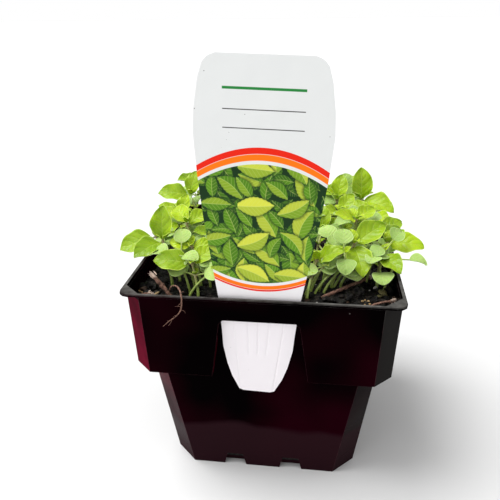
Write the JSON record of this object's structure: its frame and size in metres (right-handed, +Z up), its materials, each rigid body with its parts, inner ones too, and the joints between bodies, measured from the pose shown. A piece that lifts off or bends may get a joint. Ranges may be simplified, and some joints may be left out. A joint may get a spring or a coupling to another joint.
{
  "type": "potted basil plant",
  "caption": "Basil seedlings growing in compost in a square black nursery pot, with a plastic plant label in the rim's slot.",
  "frame": {"origin": "under the middle of the pot's base, on the surface that the pot stands on", "axes": "+Z up; -Y is the side with the label; +X to the right when seen from that side"},
  "size_m": [0.1193, 0.1116, 0.1653],
  "materials": {
    "black_plastic": "gloss",
    "compost": "matte",
    "label_plastic": "satin",
    "dry_wood": "matte",
    "leaf": "satin"
  },
  "bodies": {
    "root": {"pot": "black_plastic", "soil": "compost", "label": "label_plastic", "twig_right": "dry_wood", "twig_left": "dry_wood", "twiglet_left": "dry_wood", "twiglet_right": "dry_wood", "seedling_01": "leaf", "seedling_02": "leaf", "seedling_03": "leaf", "seedling_04": "leaf", "seedling_05": "leaf", "seedling_06": "leaf", "seedling_07": "leaf", "seedling_08": "leaf", "seedling_09": "leaf", "seedling_10": "leaf", "seedling_11": "leaf", "seedling_12": "leaf", "seedling_13": "leaf", "seedling_14": "leaf", "seedling_15": "leaf", "seedling_16": "leaf", "seedling_17": "leaf", "seedling_18": "leaf", "seedling_19": "leaf", "seedling_20": "leaf", "seedling_21": "leaf", "seedling_22": "leaf", "seedling_23": "leaf", "seedling_24": "leaf", "seedling_25": "leaf", "seedling_26": "leaf", "seedling_27": "leaf", "seedling_28": "leaf", "seedling_29": "leaf", "seedling_30": "leaf", "seedling_31": "leaf", "seedling_32": "leaf"}
  },
  "joints": []
}
